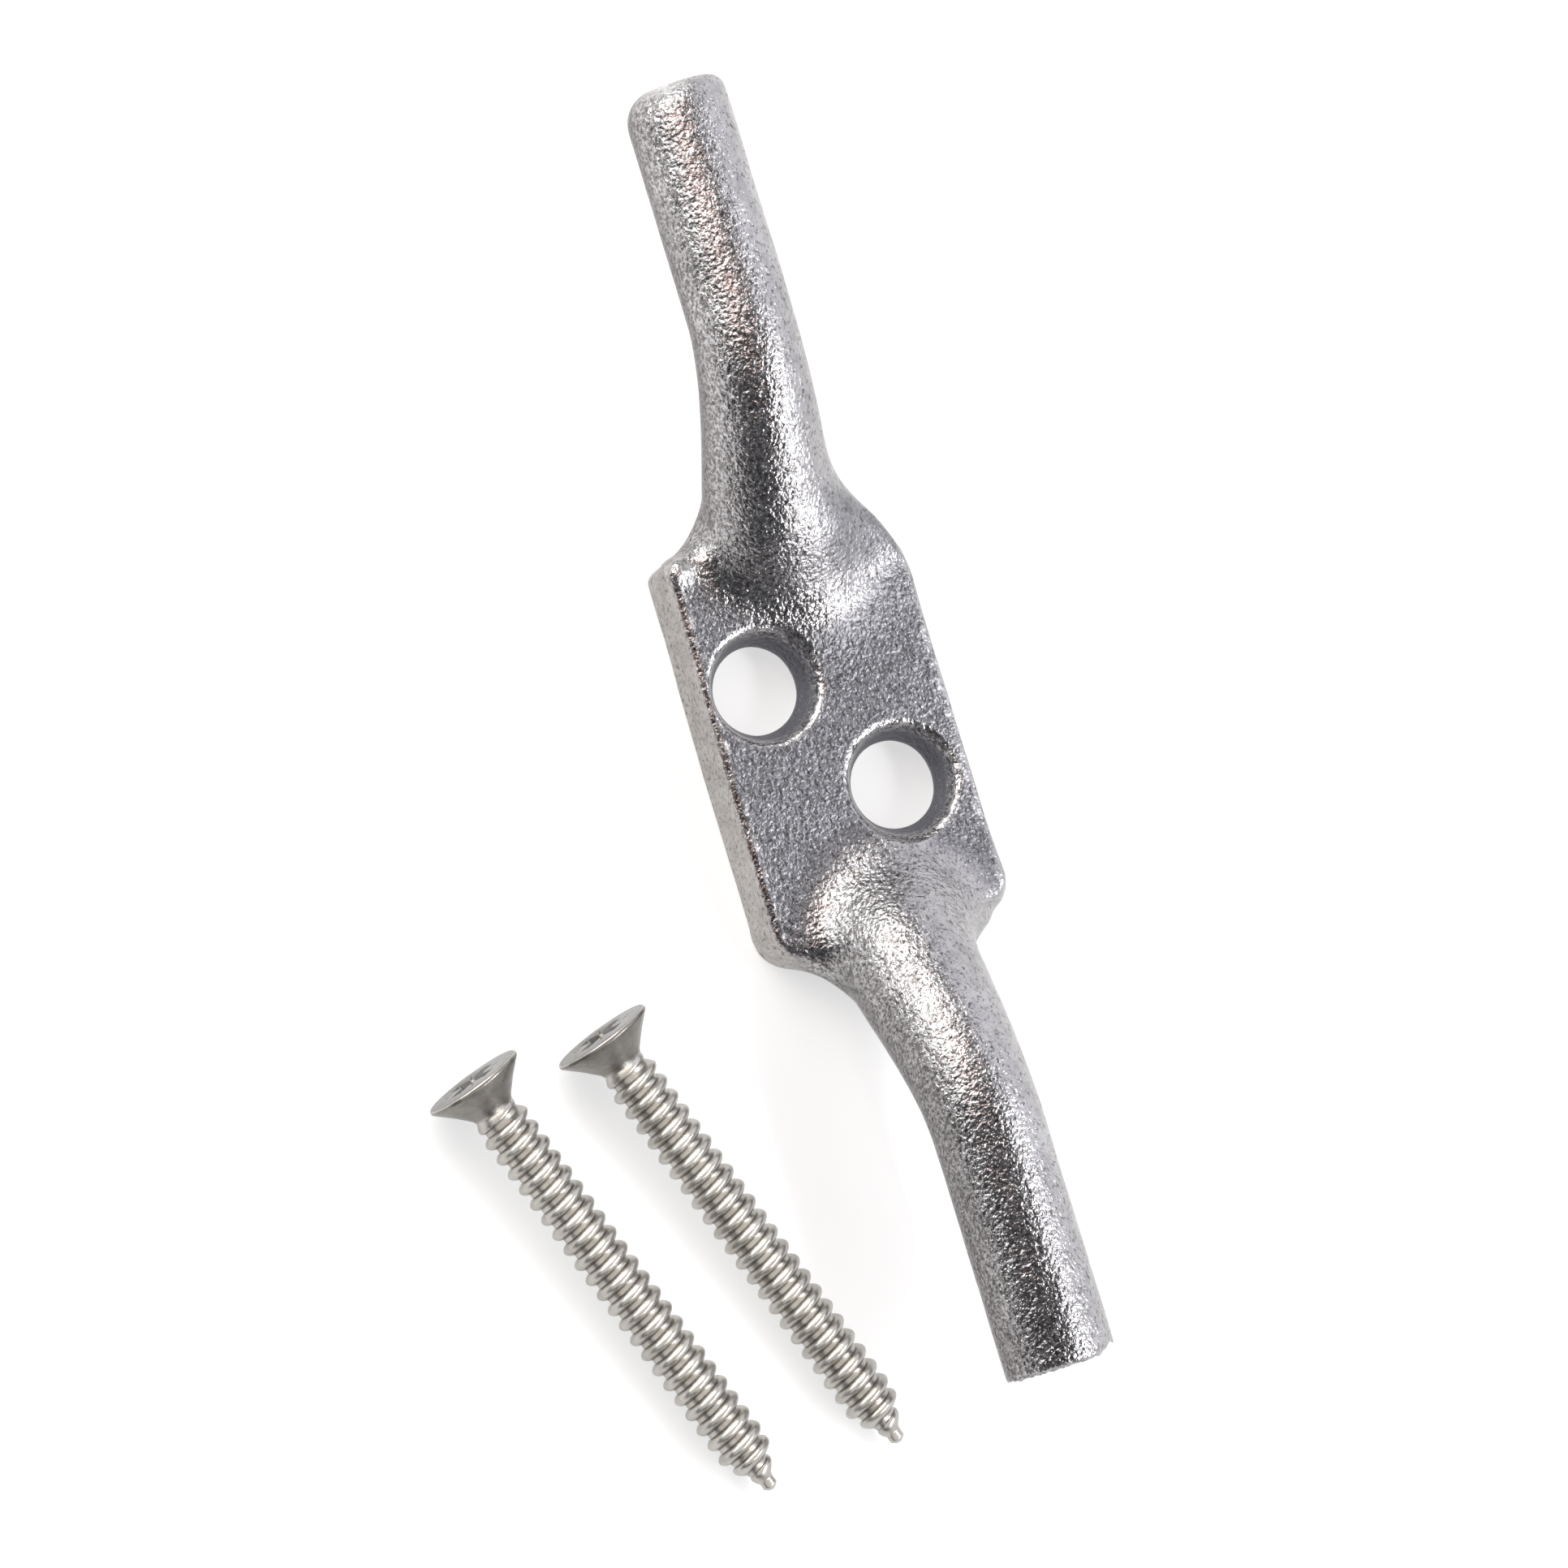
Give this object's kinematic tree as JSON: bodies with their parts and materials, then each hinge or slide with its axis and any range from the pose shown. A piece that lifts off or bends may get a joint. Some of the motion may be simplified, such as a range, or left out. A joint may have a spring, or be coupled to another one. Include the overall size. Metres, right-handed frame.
{
  "type": "two-horned rope cleat with screws",
  "caption": "Galvanised cast rope cleat hook: a flat countersunk plate with two raised round horns, shown with its loose countersunk self-tapping screws.",
  "frame": {"origin": "middle of the flat underside of the plate, between the two screw holes", "axes": "+X along the horns towards the horn with the cut end, +Y across the plate, +Z out of the mounting face (away from the wall)"},
  "size_m": [0.1023, 0.049, 0.0158],
  "materials": {
    "galvanised_iron": "hot-dip galvanised, fine orange-peel texture, semi-gloss",
    "stainless_steel": "plain rolled stainless, satin"
  },
  "bodies": {
    "cleat": {"cleat_casting": "galvanised_iron"},
    "screw_1": {"screw_1": "stainless_steel"},
    "screw_2": {"screw_2": "stainless_steel"}
  },
  "joints": [
    {"name": "screw_1_lift", "type": "slide", "parent": "cleat", "child": "screw_1", "axis": [0, 0, 1], "range_m": [0, 0.06]},
    {"name": "screw_2_lift", "type": "slide", "parent": "cleat", "child": "screw_2", "axis": [0, 0, 1], "range_m": [0, 0.06]}
  ]
}
